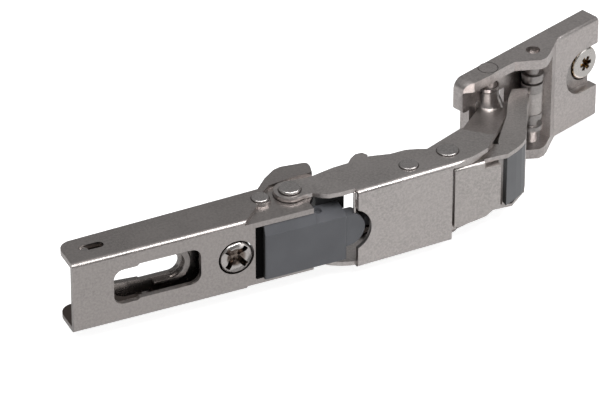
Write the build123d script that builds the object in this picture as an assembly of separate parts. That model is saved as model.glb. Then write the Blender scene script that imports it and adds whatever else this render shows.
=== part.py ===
from build123d import *
import math
import os

# A long-lever concealed hinge for a narrow framed door, in millimetres.
# The arm's outer web lies on y = 0 and faces -Y, its tail end is at x = 0, and z = 0 is mid-height.
# Every pivot turns about a line along Z. The door bracket stands open, at open_angle to the arm.

os.makedirs("parts", exist_ok=True)

# ---- driving dimensions -------------------------------------------------------------------------
flat_gap = 0.1               # between flat faces that slide past each other
running_gap = 0.06           # radial clearance of a pin in a turning piece
seat_gap = 0.02              # clearance of a pin or insert in the piece that holds it
swing_gap = 0.6              # radial clearance where a pin also shifts a little

# pivots, in plan
main_pivot_at = (51.5, 7.0)
arm_rivet_at = (44.8, 7.0)
rear_rivet_at = (77.4, 4.05)
front_rivet_at = (87.2, 5.7)
rocker_pin_at = (92.4, 6.4)
lever_pin_at = (107.3, 27.4)

# arm, folded from one strip
arm_half = 8.4
arm_sheet = 1.2
arm_bend = 1.0
recess_drop = 0.8
web_end = 40.6
tail_depth = 8.7
window = (9.0, 28.4, -4.0, 4.85)
window_corner = 2.2
screw_at = (36.3, 0.3)
screw_hole_r = 4.0
tail_slot = (3.5, 8.9)
tail_slot_y = 5.0
tail_slot_width = 2.0

# outer lever
lever_over_arm = 1.1
lever_sheet = 1.0
lever_bend = 0.95
lever_turn = 2.65            # degrees between the lever's web and the arm's
web_start = (63.6, -0.84)
web_length = 22.22
lobe_r = 3.4
ramp_x = (57.0, 62.6)        # where the flange slopes down to the pivot lobe
bend_distance = 8.9          # from the front rivet to the bend of the fork
fork_heading = 47.2
fork_slope = 16.9
fork_eye_r = 3.3
knuckle_r = 2.6
knuckle_foot_r = 3.9
knuckle_top = 7.5

# front link
link_sheet = 1.0
link_web_face = 1.4
link_web_rise = 5.8
barrel_r = 2.3
barrel_low = -2.8
barrel_high = 2.5
bumper_wall = 1.4
bumper_low = -5.6

# door bracket, in its own x (along the plate) and y (front is -y) from the lever pin
open_angle = 20.4
bracket_over_lever = 3.0
bracket_sheet = 2.3
plate_front = -2.9
bracket_back = 1.9
bracket_left = -8.7
bracket_right = 32.0
tab_low = 5.1
slot_z = (-4.5, 6.2)
slot_depth = 9.9
link_pin_local = (12.17, -1.86)
clamp_local = (30.2, 0.85)

# damper housing
cap_x = (42.5, 61.2)
cap_face = -0.5
body_left = 43.2
cap_step = 54.2              # right of this the cap's top is low and nearly flat
cap_crease = 3.95
cap_low = -6.7
housing_back = 4.4
tongue_at = (61.5, 0.1)
tongue_r = 4.0
slider_travel = 3.0

# pins
main_pin_r = 1.6
arm_rivet_r = 1.3
lever_rivet_r = 1.3
rocker_pin_r = 1.1
lever_pin_r = 1.5
lever_pin_head_r = 2.05
link_pin_r = 1.5
overlay_shank_r = 2.25
clamp_shank_r = 2.0
clamp_neck_r = 1.6
clamp_head_r = 3.8

# worked out from the above
arm_inner = arm_half - arm_sheet
recess_half = arm_half - recess_drop
recess_inner = recess_half - arm_sheet
lobe_low = recess_half + flat_gap
lobe_high = lobe_low + lever_sheet
lever_half = arm_half + lever_over_arm
lever_inner = lever_half - lever_sheet
rocker_high = lever_inner - flat_gap
rocker_low = rocker_high - lever_sheet
link_half = rocker_low - flat_gap
link_inner = link_half - link_sheet
bumper_high = link_inner - flat_gap
bracket_half = lever_half + bracket_over_lever
bracket_inner = bracket_half - bracket_sheet
housing_half = recess_inner - flat_gap
far = 60.0                   # longer than any piece, for cutters


# ---- construction helpers -----------------------------------------------------------------------
def prism(points, low, high):
    """A straight-sided solid over an outline in plan, between two heights."""
    face = make_face(Polyline(*[(x, y, low) for x, y in points], close=True))
    return extrude(face, amount=high - low, dir=(0, 0, 1))


def panel(points, near, back):
    """A flat plate whose outline is given in x and z, between two values of y."""
    face = make_face(Polyline(*[(x, near, z) for x, z in points], close=True))
    return extrude(face, amount=back - near, dir=(0, 1, 0))


def bar(points, left, right):
    """A bar along X whose section is given in y and z."""
    face = make_face(Polyline(*[(left, y, z) for y, z in points], close=True))
    return extrude(face, amount=right - left, dir=(1, 0, 0))


def block(low, high):
    """A box between two corners."""
    size = [b - a for a, b in zip(low, high)]
    middle = [(a + b) / 2 for a, b in zip(low, high)]
    return Pos(*middle) * Box(*size)


def post(at, radius, low, high):
    """An upright round bar."""
    return Pos(at[0], at[1], (low + high) / 2) * Cylinder(radius, high - low)


def bore(at, radius):
    """An upright round cutter, right through."""
    return post(at, radius, -far, far)


def stud(at, radius, front, back):
    """A round bar along Y at a point in x and z."""
    return Pos(at[0], (front + back) / 2, at[1]) * Rot(90, 0, 0) * Cylinder(radius, back - front)


def rod(left, right, radius, y):
    """A round bar along X at mid-height."""
    return Pos((left + right) / 2, y, 0) * Rot(0, 90, 0) * Cylinder(radius, right - left)


def pair(shape):
    """A shape above mid-height and its mirror image below."""
    return shape + mirror(shape, about=Plane.XY)


def shifted(path, distance):
    """The corners of a path in plan, moved to its right-hand side and mitred."""
    out = []
    for i, here in enumerate(path):
        normals = []
        for a, b in zip(path[max(i - 1, 0):i + 1], path[max(i, 1):i + 2]):
            length = math.hypot(b[0] - a[0], b[1] - a[1])
            normals.append(((b[1] - a[1]) / length, (a[0] - b[0]) / length))
        nx = sum(n[0] for n in normals) / len(normals)
        ny = sum(n[1] for n in normals) / len(normals)
        scale = distance / (nx * nx + ny * ny)
        out.append((here[0] + nx * scale, here[1] + ny * scale))
    return out


def strip(path, inner, outer, low, high):
    """An upright sheet along a path in plan, between two offsets to the path's right-hand side."""
    return prism(shifted(path, inner) + shifted(path, outer)[::-1], low, high)


def edges_on(shape, axis, test):
    """The straight edges along an axis whose middle passes a test."""
    return [e for e in shape.edges().filter_by(axis) if test(e.center())]


def rivet(at, radius, head_radius, head_low, rise):
    """A through rivet with a low domed head at each end."""
    head = post(at, head_radius, head_low, head_low + rise)
    head = fillet(head.edges().filter_by(GeomType.CIRCLE).sort_by(Axis.Z)[-1], 0.7 * rise)
    return pair(head) + post(at, radius, -head_low, head_low)


def coil(at, inner, wire, turns, low):
    """Close-wound turns of round wire, drawn as one scalloped sleeve."""
    pitch = 0.92 * wire
    shape = Pos(0, 0, low + wire / 2) * Torus(inner + wire / 2, wire / 2)
    for n in range(1, turns):
        shape += Pos(0, 0, low + wire / 2 + pitch * n) * Torus(inner + wire / 2, wire / 2)
    return Pos(at[0], at[1], 0) * shape


def save(name, shape):
    export_step(shape, "parts/" + name + ".step")


# ---- arm ----------------------------------------------------------------------------------------
arm_plan = [(0, 0), (0, tail_depth), (45.7, 10.4), (48.7, 13.5), (51.7, 15.7), (53.5, 16.2), (59.2, 15.5),
            (59.3, 13.9), (58.6, 11.2), (55.9, 9.0), (55.9, 5.0), (53.8, 2.2), (53.8, 0)]
recess_edge = [(38.3, 0.1), (43.5, 5.1), (45.6, 8.4), (48.2, 10.6), (53.6, 11.4), (62, 11.7)]
rivet_pad_r = 2.2


def recess(spread):
    """The sunk area round the main pivot, in plan, with its edge moved outwards."""
    return [(recess_edge[0][0] - spread, -2)] + shifted(recess_edge, -spread) + [(62, -2)]


flange = prism(arm_plan, recess_inner, arm_half)
flange -= prism(recess(0), recess_half, far) - post(arm_rivet_at, rivet_pad_r, 0, far)
full_level = block((-far, -far, 0), (far, far, arm_inner))
flange -= full_level - prism(recess(arm_sheet), -1, far)
arm_web = panel([(0, -arm_half), (38.3, -arm_half), (38.3, -recess_half), (web_end + 1.5, -recess_half),
                 (web_end, 1.5 - recess_half), (web_end, recess_half), (38.3, recess_half),
                 (38.3, arm_half), (0, arm_half)], 0, arm_sheet)
arm = pair(flange) + arm_web
arm = fillet(edges_on(arm, Axis.X, lambda c: c.Y < 0.01 and abs(c.Z) > arm_half - 0.01), arm_bend)
arm = fillet(edges_on(arm, Axis.Z, lambda c: c.X < 0.01 and c.Y > tail_depth - 0.01), 3.0)
arm = fillet(edges_on(arm, Axis.Z, lambda c: c.Y > 12.5), 0.9)

left, right, low, high = window
cut = panel([(left, low), (14.2, low), (14.8, low + 0.4), (right, low + 0.4), (right, high), (14.8, high),
             (14.2, high - 0.5), (left, high - 0.5)], -1, arm_sheet + 1)
cut = fillet(edges_on(cut, Axis.Y, lambda c: c.X < left + 0.1 or c.X > right - 0.1), window_corner)
arm -= cut
arm -= stud(screw_at, screw_hole_r, -1, arm_sheet + 1)
slot_ends = (tail_slot[0] + tail_slot_width / 2, tail_slot[1] - tail_slot_width / 2)
for x in slot_ends:
    arm -= bore((x, tail_slot_y), tail_slot_width / 2)
arm -= block((slot_ends[0], tail_slot_y - tail_slot_width / 2, -far),
             (slot_ends[1], tail_slot_y + tail_slot_width / 2, far))
arm -= bore(main_pivot_at, main_pin_r + seat_gap)
arm -= bore(arm_rivet_at, arm_rivet_r + seat_gap)
save("hinge_arm", arm)

# a catch pin across the tail, at the end of the slots
save("catch_pin", post((slot_ends[0], tail_slot_y), tail_slot_width / 2 - seat_gap, 0.4 - arm_half, arm_half - 0.4))

save("main_pivot", rivet(main_pivot_at, main_pin_r, 2.35, lobe_high + flat_gap, 0.65))
save("arm_rivet", rivet(arm_rivet_at, arm_rivet_r, 1.85, arm_half + seat_gap, 0.4))

# ---- adjusting slide inside the arm -------------------------------------------------------------
slide_near = 3.4
slide_sheet = 1.2
slide_half = arm_inner - flat_gap
slide_x = (17.0, 39.6)
slide_depth = 8.2
slide_slot_at = (22.7, 0.6)
slide_slot_r = 2.3
bead_in = 3.1
bead_out = 4.6
bead_rise = 0.9
boss_r = 3.4

slide = panel([(18.0, -slide_half), (slide_x[1], -slide_half), (slide_x[1], slide_half), (slide_x[0], slide_half),
               (slide_x[0], -1.5), (10.3, -1.0), (10.3, -3.3), (10.9, -4.1), (12.6, -4.8), (18.0, -4.8)],
              slide_near, slide_near + slide_sheet)
slide += pair(block((slide_x[0], slide_near, slide_half - slide_sheet), (slide_x[1], slide_depth, slide_half)))
slide = fillet(edges_on(slide, Axis.X, lambda c: c.Y < slide_near + 0.01 and c.Z > slide_half - 0.01), 1.0)
bead = stud(slide_slot_at, bead_out, slide_near - bead_rise, slide_near + slide_sheet)
bead += block((18.9, slide_near - bead_rise, slide_slot_at[1] - bead_out + 0.7),
              (slide_slot_at[0], slide_near + slide_sheet, slide_slot_at[1] + bead_out - 0.7))
bead = fillet(bead.edges().filter_by(Plane.XZ).group_by(Axis.Y)[0], 0.35)
trough = stud(slide_slot_at, bead_in, slide_near - 2, slide_near + 0.01)
trough += block((slide_x[0], slide_near - 2, slide_slot_at[1] - bead_in),
                (slide_slot_at[0], slide_near + 0.01, slide_slot_at[1] + bead_in))
slide += bead - trough
slide -= stud(slide_slot_at, slide_slot_r, 0, 9)
slide -= block((slide_x[0] - 1, 0, slide_slot_at[1] - slide_slot_r),
               (slide_slot_at[0], 9, slide_slot_at[1] + slide_slot_r))
slide += stud(screw_at, boss_r, slide_near, slide_near + 4.8)
slide -= stud(screw_at, overlay_shank_r + running_gap, 0, far)
save("adjusting_slide", slide)

# overlay screw, its head sunk in the web's hole
head_front = -0.15
head_back = 1.5
overlay_end = 9.2
overlay_screw = stud(screw_at, screw_hole_r - 0.25, head_front, head_back)
overlay_screw = fillet(overlay_screw.edges().filter_by(GeomType.CIRCLE).sort_by(Axis.Y)[0], 0.5)
overlay_screw += stud(screw_at, overlay_shank_r, head_back, overlay_end)
for angle in (45, 135):
    overlay_screw -= Pos(screw_at[0], head_front + 0.2, screw_at[1]) * Rot(0, angle, 0) * Box(6.2, 2.0, 1.2)
overlay_screw -= Pos(screw_at[0], head_front + 0.4, screw_at[1]) * Rot(90, 0, 0) * Cone(1.2, 2.5, 0.8)
save("overlay_screw", overlay_screw)

# ---- damper housing under the main pivot --------------------------------------------------------
slider_x = (57.2, 61.5)
slider_y = (0.05, 3.0)
slider_z = (-3.9, 3.6)
damper_y = 1.55
cylinder_r = 1.15
cylinder_x = (43.6, 53.4)
damper_rod_r = 0.55
rod_overlap = 3.0

housing = bar([(cap_face, cap_low), (cap_face, cap_crease), (0.2, housing_half), (0.8, housing_half),
               (0.8, -housing_half), (-flat_gap, -housing_half), (-flat_gap, cap_low)], cap_x[0], cap_step)
housing += block((body_left, 0.7, -housing_half), (cap_step, housing_back, housing_half))
housing += bar([(cap_face, cap_low), (cap_face, cap_crease), (housing_back, cap_crease + 1.0),
                (housing_back, -housing_half), (-flat_gap, -housing_half), (-flat_gap, cap_low)], cap_step, cap_x[1])
housing = fillet(edges_on(housing, Axis.Z, lambda c: c.Y < cap_face + 0.01), 0.5)
housing += block((body_left, housing_back - 0.5, -housing_half), (47.6, 8.6, housing_half))
housing -= bore(arm_rivet_at, arm_rivet_r + seat_gap)
housing -= bore(main_pivot_at, main_pin_r + 0.6)
housing -= block((slider_x[0] - slider_travel - 0.3, slider_y[0] - flat_gap, slider_z[0] - flat_gap),
                 (cap_x[1] + 1, slider_y[1] + flat_gap, slider_z[1] + flat_gap))
housing -= rod(cylinder_x[0], cylinder_x[1] + 1, cylinder_r + seat_gap, damper_y)
housing -= post((56.0, 3.0), 0.9, cap_crease, far)
save("damper_housing", housing)

slider = block((slider_x[0], slider_y[0], slider_z[0]), (slider_x[1], slider_y[1], slider_z[1]))
tongue = stud(tongue_at, tongue_r, *slider_y)
tongue &= block((tongue_at[0] - 0.5, slider_y[0], slider_z[0]),
                (tongue_at[0] + tongue_r, slider_y[1], slider_z[1]))
slider += tongue
slider -= rod(slider_x[0] - 1, slider_x[0] + 1.5, damper_rod_r + seat_gap, damper_y)
save("damper_slider", slider)

cylinder = rod(cylinder_x[0] + 0.1, cylinder_x[1], cylinder_r, damper_y)
cylinder -= rod(cylinder_x[1] - rod_overlap - slider_travel - 0.4, far, damper_rod_r + running_gap, damper_y)
save("damper_cylinder", cylinder)
save("damper_rod", rod(cylinder_x[1] - rod_overlap, slider_x[0] + 1.4, damper_rod_r, damper_y))

# a ribbed stop block behind the housing
stop = block((56.2, housing_back + seat_gap, -5.0), (62.7, 8.4, 6.9))
for step in range(4):
    z = -3.8 + 2.0 * step
    stop -= block((62.0, 0, z - 0.45), (2 * far, far, z + 0.45))
stop = fillet(edges_on(stop, Axis.Z, lambda c: c.Y > 8.3 and c.X < 57), 1.0)
save("ribbed_stop", stop)

# ---- outer lever --------------------------------------------------------------------------------
lever_way = math.radians(lever_turn)
web_finish = (web_start[0] + web_length * math.cos(lever_way), web_start[1] + web_length * math.sin(lever_way))
rear_edge = [(51.5, 7.0 + lobe_r), (56.5, 9.6), (62.6, 9.8), (66.5, 10.1), (69.3, 10.6), (71.6, 10.6), (75.7, 9.6), (79.3, 9.7), (81.9, 8.9),
             (83.6, 8.15), (94.2, 12.7), (104.4, 25.4)]
fork_end = [(105.6, 29.9), (107.3, 30.7), (110.0, 30.4), (112.4, 28.2), (112.8, 25.4)]
front_edge = [(110.8, 22.7), (107.5, 18.8), (103.5, 13.2), (100.4, 9.0), (98.8, 6.9), (96.9, 5.0), (95.4, 3.2),
              (92.0, 1.85), (88.8, 0.85), web_finish, web_start, (63.6, 0.56), (60.8, 0.9), (58.2, 1.7),
              (55.2, 3.9), (53.0, 4.0)]
lever_plan = rear_edge + fork_end + front_edge
low_edge = [(103.5, 14.4), (100.4, 11.0), (98.0, 8.5), (94.5, 6.8), (92.0, 4.8), (88.6, 3.9), (86.9, 3.6), web_finish]
fork_way = math.radians(fork_heading)
fork_reach = 34.0
fork_fall = (fork_reach - bend_distance) * math.tan(math.radians(fork_slope))


def fork_point(s, z):
    """A point at a distance along the fork from the front rivet, at a height."""
    return (front_rivet_at[0] + s * math.cos(fork_way), front_rivet_at[1] + s * math.sin(fork_way), z)


def lever_outline(low, high):
    """The lever's plan as a solid, with its two round eyes."""
    return (prism(lever_plan, low, high) + post(main_pivot_at, lobe_r, low, high)
            + post(lever_pin_at, fork_eye_r, low, high))


profile = [fork_point(-far, lever_half), fork_point(bend_distance, lever_half),
           fork_point(fork_reach, lever_half - fork_fall), fork_point(fork_reach, lever_inner - fork_fall),
           fork_point(bend_distance, lever_inner), fork_point(-far, lever_inner)]
bent_sheet = extrude(make_face(Polyline(*profile, close=True)), amount=far,
                     dir=(-math.sin(fork_way), math.cos(fork_way), 0), both=True)
lever_top = bent_sheet & lever_outline(-1, lever_half) & block((ramp_x[1], -far, -1), (3 * far, far, lever_half))
lobe_sheet = panel([(0, lobe_low), (ramp_x[0], lobe_low), (ramp_x[1], lever_inner), (ramp_x[1], lever_half),
                    (ramp_x[0], lobe_high), (0, lobe_high)], -far, far)
lever_top += lobe_sheet & lever_outline(-1, lever_half)
low_cut = prism([(107.5, -far), (107.5, 18.8)] + low_edge + [(web_finish[0], -far)], -far, 0)
lever_foot = mirror(lever_top, about=Plane.XY) - low_cut
lever = lever_top + lever_foot + strip([web_start, web_finish], -lever_sheet, 0, -lever_half, lever_half)
bend_edges = [e for e in lever.edges() if e.geom_type == GeomType.LINE and abs(e.length - web_length) < 0.4
              and abs(e.center().Z) > lever_half - 0.01 and e.center().Y < 0.3]
lever = fillet(bend_edges, lever_bend)
lever -= stud(tongue_at, tongue_r + 1.2, -3, 3)
knuckle = Pos(lever_pin_at[0], lever_pin_at[1], 4.0) * Cone(knuckle_foot_r, knuckle_r, 3.4)
knuckle += post(lever_pin_at, knuckle_r, 1.5, knuckle_top)
lever += pair(knuckle)
lever -= bore(lever_pin_at, lever_pin_r + running_gap)
lever -= bore(main_pivot_at, main_pin_r + running_gap)
for at in (rear_rivet_at, front_rivet_at):
    lever -= bore(at, lever_rivet_r + seat_gap)
save("outer_lever", lever)

save("lever_rivet_rear", rivet(rear_rivet_at, lever_rivet_r, 2.0, lever_half + seat_gap, 0.35))
save("lever_rivet_front", rivet(front_rivet_at, lever_rivet_r, 2.3, lever_half + seat_gap, 0.35))

# ---- spring carrier and closing spring inside the lever -----------------------------------------
carrier_plan = [(75.2, 1.9), (69.2, 8.2), (67.0, 10.4), (67.1, 11.8), (68.3, 13.1), (69.7, 14.1), (71.3, 14.1),
                (72.1, 12.8), (71.6, 12.2), (72.4, 11.8), (76.5, 8.6), (79.6, 6.9), (80.3, 4.0), (79.0, 1.9)]
carrier = pair(prism(carrier_plan, rocker_low, rocker_high))
carrier += block((77.0, 7.2, -rocker_high), (78.6, 8.2, rocker_high)) & pair(prism(carrier_plan, -1, rocker_high))
carrier -= bore(rear_rivet_at, lever_rivet_r + seat_gap)
save("spring_carrier", carrier)
save("closing_spring", coil(rear_rivet_at, lever_rivet_r + 0.1, 0.9, 15, -6.4))

# ---- rocker between the lever and the front link ------------------------------------------------
rocker_back = [(94.4, 7.8), (92.6, 8.7), (89.0, 8.2), (87.0, 8.9), (84.8, 8.0), (84.3, 4.2), (84.9, 2.6)]
rocker_top = [(87.2, 1.65), (89.3, 1.65), (91.65, 2.1), (93.6, 3.1), (95.8, 4.5), (97.9, 5.8), (97.4, 7.4)]
rocker_foot = [(86.4, 3.0), (88.6, 3.0), (91.0, 3.3), (93.6, 4.8), (94.6, 5.6)]
rocker = prism(rocker_back + rocker_top, rocker_low, rocker_high)
rocker += prism(rocker_back + rocker_foot, -rocker_high, -rocker_low)
rocker += block((84.3, 4.6, -rocker_low), (85.2, 7.4, rocker_low))
rocker -= bore(front_rivet_at, lever_rivet_r + running_gap)
rocker -= bore(rocker_pin_at, rocker_pin_r + seat_gap)
save("rocker", rocker)
save("rocker_pin", post(rocker_pin_at, rocker_pin_r, -rocker_high, rocker_high))

# ---- front link ---------------------------------------------------------------------------------
corner = [(97.7, link_web_face), (99.6, 2.3), (102.4, 3.6), (104.2, 4.7), (105.7, 6.05)]
side = [(105.7, 6.05), (107.85, 9.85), (111.9, 17.7), (115.25, 24.0)]
bumper_side = block((99.4 - seat_gap, -far, -far), (3 * far, far, far))
link_back = [(111.9, 25.0), (109.2, 21.4), (106.2, 16.0), (103.25, 12.0), (100.5, 8.4), (99.9, 6.4), (96.0, 8.4),
             (92.4, 9.2), (90.0, 7.6), (89.8, 4.6), (89.2, 3.6), (87.0, 3.4)]
link_top = [(87.0, link_web_face), (93.9, link_web_face), (94.2, 2.5), (97.5, 2.55)] + corner[1:] + side[1:]
link_foot = [(87.0, link_web_face), (89.6, 1.7), (92.4, 2.15), (95.0, 2.7), (97.5, 4.2), (99.2, 4.15),
             (101.8, 3.95), (106.0, 7.3)] + side[1:]
link = prism(link_top + link_back, link_inner, link_half)
link += prism(link_foot + link_back, -link_half, -link_inner)
link += panel([(87.0, -link_half), (89.5, -7.1), (92.0, -6.75), (94.4, -6.35), (96.0, -5.2), (97.7, -5.3),
               (97.7, link_web_rise), (93.9, link_web_rise), (93.9, link_half), (87.0, link_half)],
              link_web_face, link_web_face + link_sheet)
link = fillet(edges_on(link, Axis.X, lambda c: c.Y < link_web_face + 0.01 and c.Z > link_half - 0.01
                       and c.X < 93.5), 0.8)
link += strip(corner, -bumper_wall - 2 * link_sheet, -bumper_wall, -link_inner, link_inner) & bumper_side
link += strip([side[0], (106.35, 7.2)], -bumper_wall - link_sheet, 0, -link_inner, link_inner)
link += strip(side, -link_sheet, 0, -link_inner, link_inner)
link -= strip(corner, -bumper_wall - seat_gap, 1, bumper_low - 1, bumper_high + seat_gap) & bumper_side
link_pin_at = (Pos(*lever_pin_at, 0) * Rot(0, 0, open_angle) * Pos(*link_pin_local, 0)).position
link_pin_at = (link_pin_at.X, link_pin_at.Y)
link += strip([side[-2], side[-1], (118.4, 29.0)], -link_sheet, 0, barrel_low, barrel_high)
link += post(link_pin_at, barrel_r, barrel_low, barrel_high)
link -= bore(link_pin_at, link_pin_r + running_gap)
link -= bore(rocker_pin_at, rocker_pin_r + swing_gap)
save("front_link", link)

save("link_bumper", strip(corner, -bumper_wall, 0, bumper_low, bumper_high) & Pos(seat_gap, 0, 0) * bumper_side)

# ---- door bracket -------------------------------------------------------------------------------
at_bracket = Pos(*lever_pin_at, 0) * Rot(0, 0, open_angle)
plate_path = [(15.9, -4.2), (18.4, plate_front), (bracket_right, plate_front)]
hump = [(-6.6, -2.3), (-2.25, -2.55), (2.35, -2.3), (5.8, -2.5), (8.1, -4.2), (10.4, -6.0), (11.9, -6.1), (13.5, -5.5)]
bracket_plan = hump + plate_path + [(bracket_right, bracket_back), (bracket_left, bracket_back), (bracket_left, -0.9)]
fold_r = 2.3

bracket = pair(prism(bracket_plan, bracket_inner, bracket_half))
bracket += strip(plate_path, -bracket_sheet, 0, -bracket_half, bracket_half)
bracket += pair(block((bracket_left, -0.9, tab_low), (bracket_left + bracket_sheet, bracket_back, bracket_half)))
bracket = fillet(edges_on(bracket, Axis.X, lambda c: c.Y < plate_front + 0.01 and c.X > 20
                          and abs(c.Z) > bracket_half - 0.01), 0.9)
bracket = fillet(edges_on(bracket, Axis.Y, lambda c: c.X < bracket_left + 0.01
                          and abs(c.Z) > bracket_half - 0.01), fold_r)
bracket = fillet(edges_on(bracket, Axis.Y, lambda c: c.X < bracket_left + 0.01 and abs(c.Z) < tab_low + 0.01), 0.8)
bracket += block((bracket_left + bracket_sheet, -0.7, -bracket_inner), (-4.3, bracket_back, bracket_inner))
bracket += block((6.0, bracket_back - 1.2, -bracket_inner), (16.5, bracket_back, bracket_inner))
bracket += pair(block((3.9, bracket_back - 1.2, 4.6), (6.1, bracket_back, bracket_inner)))
bracket += pair(block((-4.4, -0.7, 6.0), (-3.2, bracket_back, bracket_inner)))
slot_r = (slot_z[1] - slot_z[0]) / 2
slot_middle = (slot_z[1] + slot_z[0]) / 2
slot_x = bracket_right - slot_depth + slot_r
bracket -= stud((slot_x, slot_middle), slot_r, plate_front - 1, 0)
bracket -= block((slot_x, plate_front - 1, slot_z[0]), (far, 0, slot_z[1]))
bracket -= bore((0, 0), lever_pin_head_r + seat_gap)
bracket -= bore(link_pin_local, link_pin_r + seat_gap)
save("door_bracket", at_bracket * bracket)

ring_high = (7.6, 8.4)
lever_pin = post((0, 0), lever_pin_r, -bracket_inner, bracket_inner)
lever_pin += pair(post((0, 0), lever_pin_head_r, bracket_inner - 0.01, bracket_half))
lever_pin += pair(post((0, 0), 2.5, *ring_high))
save("lever_pin", at_bracket * lever_pin)

link_pin = post(link_pin_local, link_pin_r, 2.0 - bracket_half, bracket_half - 2.0)
for rings in ((barrel_high + flat_gap, 4.7), (5.3, 7.0), (-4.2, barrel_low - flat_gap), (-7.1, -6.0)):
    link_pin += post(link_pin_local, barrel_r + 0.1, *rings)
save("link_pin", at_bracket * link_pin)

# clamp plate and screw behind the slot
clamp_plate_y = (plate_front + bracket_sheet + seat_gap, 1.7)
clamp_head = (-1.2, 0.6)
clamp_plate = block((21.2, clamp_plate_y[0], -7.4), (bracket_right - 0.3, clamp_plate_y[1], 8.6))
clamp_plate -= stud(clamp_local, clamp_head_r + 0.3, -far, clamp_head[1] + seat_gap)
clamp_plate -= stud(clamp_local, clamp_neck_r + running_gap, -far, far)
save("clamp_plate", at_bracket * clamp_plate)

clamp_end = 7.0
clamp = stud(clamp_local, clamp_head_r, *clamp_head)
clamp = fillet(clamp.edges().filter_by(GeomType.CIRCLE).sort_by(Axis.Y)[0], 0.8)
clamp += stud(clamp_local, clamp_neck_r, clamp_head[1], clamp_plate_y[1] + seat_gap)
clamp += stud(clamp_local, clamp_shank_r, clamp_plate_y[1] + seat_gap, clamp_end)
for angle in (0, 60, 120):
    clamp -= Pos(clamp_local[0], clamp_head[0], clamp_local[1]) * Rot(0, angle, 0) * Box(3.4, 2.6, 0.95)
save("clamp_screw", at_bracket * clamp)
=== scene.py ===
import bpy
import numpy as np
from mathutils import Matrix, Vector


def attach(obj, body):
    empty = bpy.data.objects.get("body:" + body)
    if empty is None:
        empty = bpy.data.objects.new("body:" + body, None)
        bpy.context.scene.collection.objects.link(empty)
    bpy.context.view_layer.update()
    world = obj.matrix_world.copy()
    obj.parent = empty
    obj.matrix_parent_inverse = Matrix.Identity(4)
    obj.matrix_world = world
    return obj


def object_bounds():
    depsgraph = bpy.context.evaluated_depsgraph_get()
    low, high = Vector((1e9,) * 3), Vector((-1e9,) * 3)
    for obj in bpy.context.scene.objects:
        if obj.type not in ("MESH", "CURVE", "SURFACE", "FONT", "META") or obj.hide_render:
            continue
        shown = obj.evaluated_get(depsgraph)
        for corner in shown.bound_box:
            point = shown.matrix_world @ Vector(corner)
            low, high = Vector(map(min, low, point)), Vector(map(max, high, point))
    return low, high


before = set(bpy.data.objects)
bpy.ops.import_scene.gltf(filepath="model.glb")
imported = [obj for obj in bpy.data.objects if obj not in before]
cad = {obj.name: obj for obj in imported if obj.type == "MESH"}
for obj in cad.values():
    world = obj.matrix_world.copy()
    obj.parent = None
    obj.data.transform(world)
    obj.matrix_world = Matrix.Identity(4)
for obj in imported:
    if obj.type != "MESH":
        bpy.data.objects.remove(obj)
cad_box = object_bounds()

# ---- arm ----------------------------------------------------------------------------------------
# The arm is cold-rolled strip, blanked and folded into a channel, then barrel-plated with satin
# nickel. Plating leaves a faint orange peel and slow clouds of gloss, and its sheared edges are
# rounded by tumbling.
MM = 0.001


class Value:
    """One output in a node tree. Sums and products of values become Math nodes."""

    def __init__(self, tree, socket):
        self.tree = tree
        self.socket = socket

    def math(self, operation, *values):
        return self.tree.add("Math", *values, settings={"operation": operation})

    def __add__(self, other):
        return self.math("ADD", self, other)

    def __sub__(self, other):
        return self.math("SUBTRACT", self, other)

    def __rsub__(self, other):
        return self.math("SUBTRACT", other, self)

    def __mul__(self, other):
        return self.math("MULTIPLY", self, other)

    __radd__ = __add__
    __rmul__ = __mul__

    def __abs__(self):
        return self.math("ABSOLUTE", self)

    def step(self, start, end):
        """0 below start, 1 above end, and a smooth rise between them."""
        return self.tree.add("MapRange", settings={"interpolation_type": "SMOOTHSTEP"},
                             Value=self, From_Min=start, From_Max=end)


class Tree:
    """A node tree. add() puts one node into it and hands back one of that node's outputs."""

    def __init__(self, tree):
        self.nodes = tree.nodes
        self.links = tree.links

    def join(self, socket, value):
        if isinstance(value, Value):
            self.links.new(value.socket, socket)
        else:
            socket.default_value = value

    def add(self, kind, *ordered, output=0, settings=None, numbered=None, **named):
        """One node of a kind. Its settings come first, a ramp's stops as pairs of place and level.
        Its sockets take values or links, in order, by number or by name."""
        node = self.nodes.new("ShaderNode" + kind)
        for setting, value in (settings or {}).items():
            if setting == "stops":
                stops = node.color_ramp.elements
                while len(stops) < len(value):
                    stops.new(0.5)
                for stop, (place, level) in zip(stops, value):
                    stop.position = place
                    stop.color = (level, level, level, 1.0)
            else:
                setattr(node, setting, value)
        for socket, value in zip(node.inputs, ordered):
            self.join(socket, value)
        for number, value in (numbered or {}).items():
            self.join(node.inputs[number], value)
        for name, value in named.items():
            self.join(node.inputs[name.replace("_", " ")], value)
        return Value(self, node.outputs[output])

    def blend(self, share, low, high):
        """The colour low where share is 0 and high where it is 1."""
        return self.add("Mix", output=2, settings={"data_type": "RGBA"},
                        numbered={0: share, 6: low, 7: high})


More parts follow.
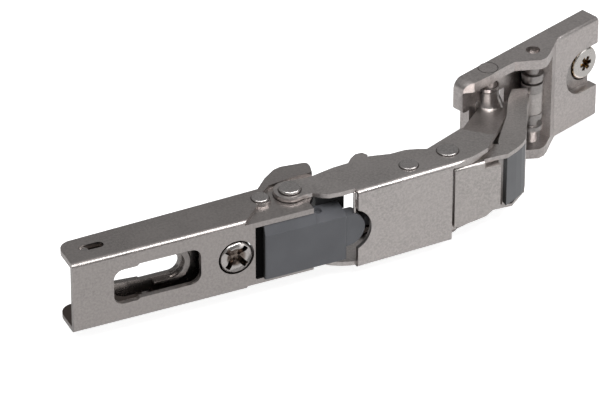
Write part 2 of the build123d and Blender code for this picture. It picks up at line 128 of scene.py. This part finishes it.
class Finish(Tree):
    """A material. wear() sets or links the sockets of its surface."""

    def __init__(self, name, **sockets):
        self.material = bpy.data.materials.new(name)
        self.material.use_nodes = True
        super().__init__(self.material.node_tree)
        self.surface = self.nodes["Principled BSDF"]
        self.place = self.add("TexCoord", output="Object")
        self.wear(**sockets)

    def wear(self, **sockets):
        for name, value in sockets.items():
            self.join(self.surface.inputs[name.replace("_", " ")], value)

    def noise(self, scale, detail, roughness=0.5):
        """Noise with features about 1 / scale metres across."""
        return self.add("TexNoise", Vector=self.place, Scale=scale, Detail=detail,
                        Roughness=roughness)

    def axis(self, letter, place=None):
        """One coordinate of a place, in metres."""
        return self.add("SeparateXYZ", output=letter, Vector=place or self.place)

    def reach(self, centre, across):
        """The distance in metres from a pin's axis through a centre in millimetres. across is 1
        for the two axes square to the pin and 0 for the pin's own."""
        flat = self.add("Mapping", Vector=self.place, Scale=across,
                        Location=tuple(-c * a * MM for c, a in zip(centre, across)))
        return self.add("VectorMath", output="Value", settings={"operation": "LENGTH"},
                        Vector=flat)


def shade(colour, factor=1.0):
    """A colour times a factor, with full alpha."""
    return tuple(channel * factor for channel in colour) + (1.0,)


def plated(name, colour, roughness, grain=0.6, clouds=0.05, joints=(), inside=None):
    """Satin plating: slow clouds of tone and gloss about 9 mm across and a grain about 0.5 mm
    across. joints are the centre and radius of each pin, in millimetres, with a dark line of
    painted contact shade round it. inside is where a channel starts in depth, its half height and
    the x where
    it ends: in there it is painted dark brown as shade."""
    contact_shade = (0.035, 0.028, 0.024, 1.0)
    channel_shade = (0.075, 0.055, 0.045, 1.0)
    finish = Finish(name, Metallic=1.0)
    cloud = finish.noise(110.0, 3.0, 0.55).step(0.3, 0.7)
    peel = finish.noise(2400.0, 2.0, 0.6)
    fine = finish.noise(1900.0, 3.0, 0.75).step(0.3, 0.7)
    speck = finish.noise(700.0, 2.0).step(0.62, 0.72)
    tone = finish.blend(fine, shade(colour, 1.11), shade(colour, 0.79))
    tone = finish.blend(cloud * 0.35, tone, shade(colour, 1 + clouds))
    tone = finish.blend(speck * 0.2, tone, shade(colour, 0.55))
    # Painted shade: inside a channel the plating is darkened to brown.
    if inside:
        start, half, end = inside
        deep = finish.axis("Y").step(start * MM, (start + 0.5) * MM)
        between = 1 - abs(finish.axis("Z")).step(half * MM, (half + 0.2) * MM)
        before = 1 - finish.axis("X").step((end - 0.5) * MM, end * MM)
        tone = finish.blend(deep * between * before * 0.9, tone, channel_shade)
    # Painted contact shade: a dark ring round each pin, where its head meets the plate.
    for (x, y), radius in joints:
        reach = finish.reach((x, y, 0), (1, 1, 0))
        line = (reach.step((radius - 0.03) * MM, (radius + 0.03) * MM)
                - reach.step((radius + 0.10) * MM, (radius + 0.24) * MM))
        tone = finish.blend(line * 0.85, tone, contact_shade)
    finish.wear(Base_Color=tone, Roughness=cloud * 0.08 + peel * 0.06 + (roughness - 0.07),
                Normal=finish.add("Bump", Strength=grain, Distance=0.012 * MM, Height=peel))
    return finish


def dress(name, finish, edge=None):
    """Gives a CAD node its finish on every slot. Its sharp edges get a bevel edge millimetres
    wide, after its loose triangles are welded."""
    node = cad[name]
    for place in node.material_slots:
        place.material = finish.material
    if edge:
        weld = node.modifiers.new("weld", "WELD")
        weld.merge_threshold = 0.0005 * MM
        bevel = node.modifiers.new("edge", "BEVEL")
        bevel.limit_method = "ANGLE"
        bevel.angle_limit = np.radians(34.0)
        bevel.width = edge * MM
        bevel.segments = 2
        bevel.use_clamp_overlap = True


arm_rivet_at = (44.8, 7.0)
main_pivot_at = (51.5, 7.0)
arm_nickel = plated("arm_nickel", (0.405, 0.375, 0.362), 0.32, inside=(1.0, 7.3, 70.0),
                    joints=[(arm_rivet_at, 1.85), (main_pivot_at, 3.42)])
dress("hinge_arm", arm_nickel, edge=0.15)

# ---- pins and rivets ----------------------------------------------------------------------------
# Turned steel pins, pressed in or riveted over, in bright nickel. Those that lie deeper in the
# channels are a little rougher and painted darker, as shade.
pin_nickel = plated("pin_nickel", (0.48, 0.455, 0.445), 0.26, grain=0.2, clouds=0.04)
for name in ("main_pivot", "arm_rivet", "lever_rivet_rear", "lever_rivet_front"):
    dress(name, pin_nickel, edge=0.06)

# A darker copy of the pin nickel, painted as shade for the pins deep in the channels.
darker_nickel = plated("darker_nickel", (0.36, 0.34, 0.33), 0.30)
for name in ("catch_pin", "rocker_pin", "link_pin"):
    dress(name, darker_nickel, edge=0.06)

# ---- adjusting slide and its screw --------------------------------------------------------------
# The slide is a darker folded spring-steel plate inside the arm, wiped with oil, that the overlay
# screw moves. The screw is zinc-plated steel with a domed head, and its recess is painted darker,
# mottled, as shade.
slide_steel = plated("slide_steel", (0.27, 0.25, 0.24), 0.26)
dress("adjusting_slide", slide_steel, edge=0.08)


def recess_stain_and_shade(finish, colour, depth, dark, light):
    """Leaves a screw's head in its plain colour where depth is 0, and mottles it between a dark
    and a light tone where depth is 1, in its recess and below its head."""
    mottle = finish.noise(1500.0, 3.0).step(0.35, 0.65)
    finish.wear(Base_Color=finish.blend(depth, shade(colour), finish.blend(mottle, dark, light)))


bright_zinc = (0.52, 0.49, 0.475)
dome_rise = 95.0  # metres of height per square metre of distance from the axis
screw_zinc = plated("screw_zinc", bright_zinc, 0.24)
# Painted shade: the screw's recess and what lies behind its head are darker, mottled.
recess_stain_and_shade(screw_zinc, bright_zinc, screw_zinc.axis("Y").step(-0.05 * MM, 0.30 * MM),
      (0.05, 0.036, 0.03, 1.0), (0.22, 0.18, 0.155, 1.0))
from_axis = screw_zinc.reach((36.3, 0, 0.3), (1, 0, 1))
dome = screw_zinc.add("Bump", Strength=1.0, Distance=1.0,
                      Height=from_axis * from_axis * -dome_rise)
screw_zinc.wear(Normal=dome)
dress("overlay_screw", screw_zinc, edge=0.06)

# ---- soft-close damper --------------------------------------------------------------------------
# The housing, its tongue and the front link's bumper are moulded in dark grey glass-filled nylon
# with a spark-eroded grain, and the stop block in black. The damper is a small plated cylinder
# with a polished rod.


def moulded(name, colour, roughness, painted_shade_to=None):
    """Spark-eroded plastic: an even grain about 0.25 mm across, slightly shinier where hands have
    rubbed it. Up to the x given last, in millimetres, it is painted black as shade."""
    finish = Finish(name, Metallic=0.0)
    speckle = finish.noise(4200.0, 2.0, 0.7)
    flow = finish.noise(160.0, 2.0)
    tone = finish.blend(flow.step(0.3, 0.7), shade(colour, 0.93), shade(colour, 1.07))
    # Painted shade: black up to the given x, on side faces that sit in dark gaps.
    if painted_shade_to:
        painted_shade = 1 - finish.axis("X").step(painted_shade_to * MM, (painted_shade_to + 0.2) * MM)
        tone = finish.blend(painted_shade, tone, (0.004, 0.004, 0.004, 1.0))
    finish.wear(Base_Color=finish.blend(speckle.step(0.45, 0.8) * 0.25, tone, shade(colour, 1.3)),
                Roughness=flow * 0.12 + speckle * 0.08 + (roughness - 0.1),
                Normal=finish.add("Bump", Strength=0.5, Distance=0.02 * MM, Height=speckle))
    return finish


grey_nylon = moulded("grey_nylon", (0.088, 0.091, 0.099), 0.46)
# The left faces of the housing and the bumper are painted black as shade.
housing_nylon = moulded("housing_nylon", (0.082, 0.084, 0.092), 0.46, painted_shade_to=42.55)
bumper_nylon = moulded("bumper_nylon", (0.105, 0.107, 0.112), 0.46, painted_shade_to=99.45)
black_nylon = moulded("black_nylon", (0.010, 0.010, 0.011), 0.5)
dress("damper_slider", grey_nylon, edge=0.15)
dress("damper_housing", housing_nylon, edge=0.3)
dress("link_bumper", bumper_nylon, edge=0.3)
dress("ribbed_stop", black_nylon, edge=0.12)
for name in ("damper_cylinder", "damper_rod"):
    dress(name, pin_nickel, edge=0.05)

# ---- outer lever and what turns inside it -------------------------------------------------------
# The lever is a folded channel like the arm, from slightly thinner strip, with a stepped fork at
# its end. The spring carrier, the rocker and the front link are made from the same plated strip,
# and the closing spring is oiled wire.
rear_rivet_at = (77.4, 4.05)
front_rivet_at = (87.2, 5.7)
lever_nickel = plated("lever_nickel", (0.505, 0.472, 0.458), 0.33, inside=(0.9, 7.3, 86.0),
                      joints=[(front_rivet_at, 2.3), (rear_rivet_at, 2.0), (main_pivot_at, 2.35)])
dress("outer_lever", lever_nickel, edge=0.12)

link_nickel = plated("link_nickel", (0.50, 0.468, 0.452), 0.35)
for name in ("spring_carrier", "rocker", "front_link"):
    dress(name, link_nickel, edge=0.12)

spring_wire = plated("spring_wire", (0.22, 0.205, 0.195), 0.26)
dress("closing_spring", spring_wire, edge=0.03)

# ---- small parts in the channels ----------------------------------------------------------------
# Behind the lever's round notch sit a dark plate of painted shade, a plastic stop and a bright
# bar, and beside it the lever's edge is curled. A leaf lies under the arm's tail slot, and a black
# sheet of painted shade fills the joint left of the damper's housing. The rest are small stampings
# or wire, and all are rounded all over.


def skin(name, body, finish, grid):
    """A closed piece from a grid of points in metres, one row for each ring round it. The first
    and last rows are its poles, one point each."""
    rows, around = grid.shape[:2]
    points = np.concatenate([grid[:1, 0], grid[1:-1].reshape(-1, 3), grid[-1:, 0]])
    here = 1 + np.arange(rows - 2)[:, None] * around + np.arange(around)
    beside = np.roll(here, -1, axis=1)
    pole = np.zeros(around, int)
    start = np.stack([pole, beside[0], here[0]], axis=-1)
    wall = np.stack([here[:-1], beside[:-1], beside[1:], here[1:]], axis=-1).reshape(-1, 4)
    end = np.stack([here[-1], beside[-1], pole + len(points) - 1], axis=-1)
    corners = points[np.concatenate([start, wall[:, :3], wall[:, [0, 2, 3]], end])]
    volume = np.sum(corners[:, 0] * np.cross(corners[:, 1], corners[:, 2]))
    outwards = 1 if volume > 0 else -1
    faces = [face for part in (start, wall, end) for face in part[:, ::outwards].tolist()]
    mesh = bpy.data.meshes.new(name)
    mesh.from_pydata(points.tolist(), [], faces)
    mesh.polygons.foreach_set("use_smooth", [True] * len(faces))
    mesh.materials.append(finish.material)
    piece = bpy.data.objects.new(name, mesh)
    bpy.context.scene.collection.objects.link(piece)
    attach(piece, body)


def pad(name, body, finish, low, high, corner=0.12):
    """A block with rounded edges between two corners in millimetres. It is the superellipsoid
    (x, y, z) = m + h (C(v) C(u), C(v) S(u), S(v)) with the middle m, the half size h, u round it
    and v from pole to pole. C is the cosine and S the sine, each to the power of corner with its
    sign kept."""
    low, high = np.array(low), np.array(high)
    u = 2 * np.pi * (np.arange(64) + 0.5) / 64
    v = np.linspace(-np.pi / 2, np.pi / 2, 33)[:, None]
    cos_u, sin_u, cos_v, sin_v = (np.sign(wave) * np.abs(wave) ** corner
                                  for wave in (np.cos(u), np.sin(u), np.cos(v), np.sin(v)))
    shape = np.stack([cos_v * cos_u, cos_v * sin_u, sin_v * np.ones_like(u)], axis=-1)
    skin(name, body, finish, ((low + high) / 2 + shape * (high - low) / 2) * MM)


def rod(name, body, finish, start, end, radius):
    """A round rod with domed ends between two points in millimetres. A point of it is
    c + r (n cos u + b sin u), where n and b are square to the rod. Over the quarter turn t of each
    dome, r is the radius times sin t and c lies the radius times cos t beyond the rod's end."""
    start, end = np.array(start), np.array(end)
    along = (end - start) / np.linalg.norm(end - start)
    side = np.cross(along, (0.31, 0.17, 0.93))
    side = side / np.linalg.norm(side)
    other = np.cross(along, side)
    u = (2 * np.pi * np.arange(16) / 16)[:, None]
    t = np.linspace(0, np.pi / 2, 5)[:, None]
    middle = np.concatenate([start - along * radius * np.cos(t),
                             end + along * radius * np.cos(t[::-1])])
    thick = radius * np.sin(np.concatenate([t, t[::-1]]))
    ring = np.cos(u) * side + np.sin(u) * other
    skin(name, body, finish, (middle[:, None] + thick[:, None] * ring) * MM)


dark_steel = plated("dark_steel", (0.060, 0.050, 0.045), 0.42)
bright_wire = plated("bright_wire", bright_zinc, 0.24, grain=0.2)
# Painted shade: a black finish with no gloss, for a sheet put where a joint is in shade.
shade_black = moulded("shade_black", (0.004, 0.004, 0.004), 0.8)
shade_black.wear(Specular_IOR_Level=0.0)
# Painted shade: a dark plate put behind the notch, where it is in shade.
pad("notch_shade", "lever", dark_steel, (65.3, 4.6, -5.6), (70.4, 5.0, 3.6))
pad("notch_block", "lever", grey_nylon, (66.5, 2.6, -1.9), (68.2, 4.5, 0.5), 0.2)
pad("notch_bar", "lever", bright_wire, (66.4, 3.0, -3.9), (68.2, 4.2, -2.7), 0.3)
pad("catch_leaf_high", "arm", dark_steel, (2.2, 3.2, 6.7), (9.6, 9.0, 7.1))
rod("lip_high", "lever", bright_wire, (63.35, 0.55, 3.7), (63.35, 0.55, 8.5), 0.32)
# Painted shade: a black sheet in the joint left of the housing.
pad("gap_shade", "arm", shade_black, (40.3, 0.4, -7.3), (42.45, 0.75, 6.8), 0.08)

# ---- door bracket and its clamp screw -----------------------------------------------------------
# The bracket is folded from thick strip and plated with the arm. The clamp screw turns in the slot
# of its plate, against a loose plate behind, and brassy passivation shows in its recess.
lever_pin_at = np.array([107.3, 27.4])
bracket_turn = np.radians(20.4)
# Its ring round the lever pin is painted contact shade.
bracket_nickel = plated("bracket_nickel", (0.53, 0.492, 0.478), 0.33,
                        joints=[(lever_pin_at, 2.06)])
dress("lever_pin", bracket_nickel)
dress("door_bracket", bracket_nickel, edge=0.14)
dress("clamp_plate", darker_nickel, edge=0.1)

head_zinc = (0.60, 0.575, 0.55)
clamp_zinc = plated("clamp_zinc", head_zinc, 0.30, grain=0.3)
back = np.array([[np.cos(bracket_turn), np.sin(bracket_turn)],
                 [-np.sin(bracket_turn), np.cos(bracket_turn)]])
in_bracket = clamp_zinc.add("Mapping", Vector=clamp_zinc.place,
                            Location=(*(-back @ lever_pin_at * MM), 0.0),
                            Rotation=(0.0, 0.0, -bracket_turn))
recess_stain_and_shade(clamp_zinc, head_zinc, clamp_zinc.axis("Y", in_bracket).step(-1.05 * MM, -0.75 * MM),
      (0.10, 0.06, 0.03, 1.0), (0.46, 0.34, 0.19, 1.0))
dress("clamp_screw", clamp_zinc, edge=0.08)

# ---- table, light and camera --------------------------------------------------------------------
# The hinge stands on a plain white table. A wide soft lamp hangs above it to the left, a long
# narrow one above its front picks out the folds, and a weaker one fills in from the right.
table_half = 3.0
table_top = cad_box[0][2] - 0.2 * MM
board = bpy.data.meshes.new("table")
board.from_pydata([(-table_half, -table_half, table_top), (table_half, -table_half, table_top),
                   (table_half, table_half, table_top), (-table_half, table_half, table_top)],
                  [], [(0, 1, 2, 3)])
table = bpy.data.objects.new("table", board)
bpy.context.scene.collection.objects.link(table)
table_white = Finish("table_white", Base_Color=(0.52, 0.52, 0.52, 1.0), Roughness=0.9,
                     Specular_IOR_Level=0.1)
seen = table_white.add("LightPath", output="Is Camera Ray")
mirrored = table_white.add("LightPath", output="Is Glossy Ray")
table_white.wear(Emission_Color=(1.0, 1.0, 1.0, 1.0),
                 Emission_Strength=(seen + mirrored * 0.06) * 0.85)
board.materials.append(table_white.material)

studio = bpy.data.worlds.new("studio")
studio.use_nodes = True
bpy.context.scene.world = studio
sky = Tree(studio.node_tree)
height = sky.add("SeparateXYZ", sky.add("TexCoord", output="Generated"), output="Z")
walls = sky.add("ValToRGB", height,
                settings={"stops": [(0.0, 0.62), (0.14, 0.22), (0.38, 0.20), (0.50, 0.36),
                                    (0.70, 0.30), (1.0, 0.60)]})
plain = sky.blend(sky.add("LightPath", output="Is Camera Ray"), walls, (1.0, 1.0, 1.0, 1.0))
sky.join(sky.nodes["Background"].inputs["Color"], plain)


def hold(name, what, place, right, up, back):
    """Puts a lamp or a camera at a place, with its own three axes along right, up and back."""
    holder = bpy.data.objects.new(name, what)
    bpy.context.scene.collection.objects.link(holder)
    axes = np.column_stack([right, up, back, place])
    holder.matrix_world = Matrix([*axes.tolist(), (0, 0, 0, 1)])
    return holder


def lamp(name, place, size, power):
    """A rectangular soft lamp, turned to the hinge. Its place is in metres, its power in watts."""
    light = bpy.data.lights.new(name, "AREA")
    light.shape = "RECTANGLE"
    light.size, light.size_y = size
    light.energy = power
    back = np.array(place) - (0.07, 0.015, 0.0)
    back = back / np.linalg.norm(back)
    right = np.cross((0, 0, 1), back)
    right = right / np.linalg.norm(right)
    hold(name, light, place, right, np.cross(back, right), back)


lamp("key", (-0.45, -0.35, 1.15), (0.9, 0.35), 7.0)
lamp("strip", (0.45, -0.50, 1.00), (1.3, 0.22), 12.0)
lamp("fill", (0.9, -0.7, 0.45), (0.6, 0.6), 2.0)

# The camera has a long lens. It looks 33.3 degrees down and 24.6 degrees off the arm's front.
down, aside = np.radians(33.294), np.radians(24.567)
aim = np.array([50.658, 0.0, 10.53]) * MM
distance = 1024.28 * MM
focal_pixels, frame_pixels = 4982.9, 600.0
forward = np.array([np.sin(aside) * np.cos(down), np.cos(aside) * np.cos(down), -np.sin(down)])
right = np.array([np.cos(aside), -np.sin(aside), 0.0])
lens = bpy.data.cameras.new("camera")
lens.sensor_width = 36.0
lens.lens = lens.sensor_width * focal_pixels / frame_pixels
lens.clip_start = 0.05
lens.clip_end = 20.0
bpy.context.scene.camera = hold("camera", lens, aim - forward * distance, right,
                                np.cross(right, forward), -forward)
bpy.context.scene.view_settings.view_transform = "Standard"
